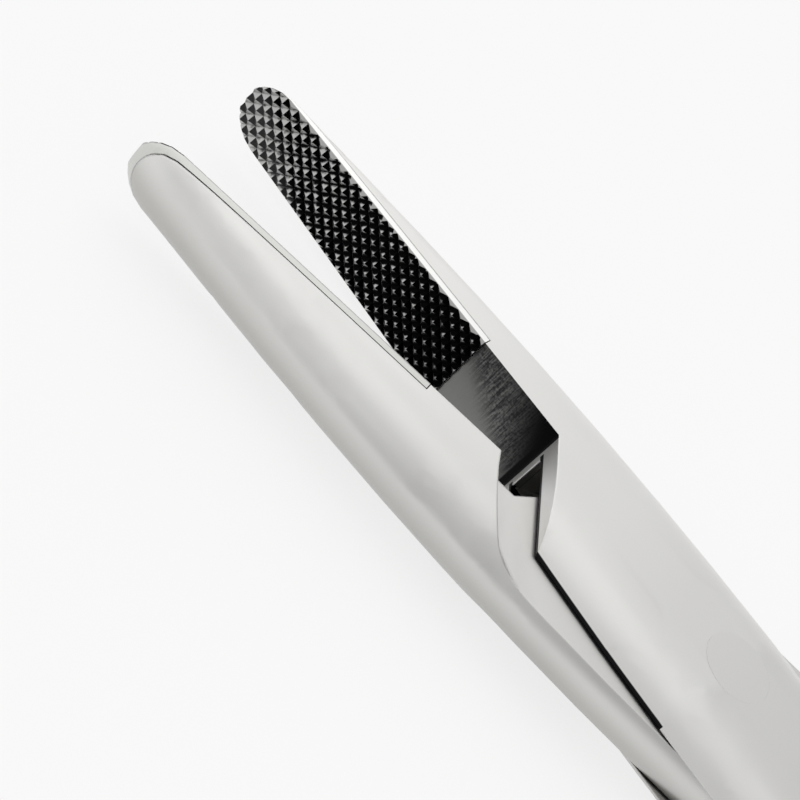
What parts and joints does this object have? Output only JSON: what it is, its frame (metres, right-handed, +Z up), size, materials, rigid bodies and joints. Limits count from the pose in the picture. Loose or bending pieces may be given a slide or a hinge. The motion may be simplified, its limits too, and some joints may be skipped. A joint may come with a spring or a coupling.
{
  "type": "surgical needle holder",
  "caption": "Ring-handled surgical needle holder with box lock, ratchet and knurled carbide jaw inserts, jaws slightly open.",
  "frame": {"origin": "on the pivot axis, in the plane the tool lies on (underside of the box lock)", "axes": "+X from the jaw tips to the finger rings along the middle line of the opening, +Y towards the side of the female jaw, +Z up along the pivot axis"},
  "size_m": [0.1568, 0.0876, 0.005],
  "materials": {
    "satin_steel_female": "satin-polished stainless steel forging",
    "satin_steel_male": "satin-polished stainless steel forging",
    "carbide": "ground tungsten carbide with diamond knurl",
    "pin_steel": "stainless steel rivet, ground flush and satin-polished"
  },
  "bodies": {
    "female": {"female_half": "satin_steel_female", "pivot_pin": "pin_steel", "carbide_insert_female": "carbide"},
    "male": {"male_half": "satin_steel_male", "carbide_insert_male": "carbide"}
  },
  "joints": [
    {"name": "jaws", "type": "hinge", "parent": "female", "child": "male", "pos_m": [0, 0, 0], "axis": [0, 0, 1], "range_deg": [-13.85, 33]}
  ]
}
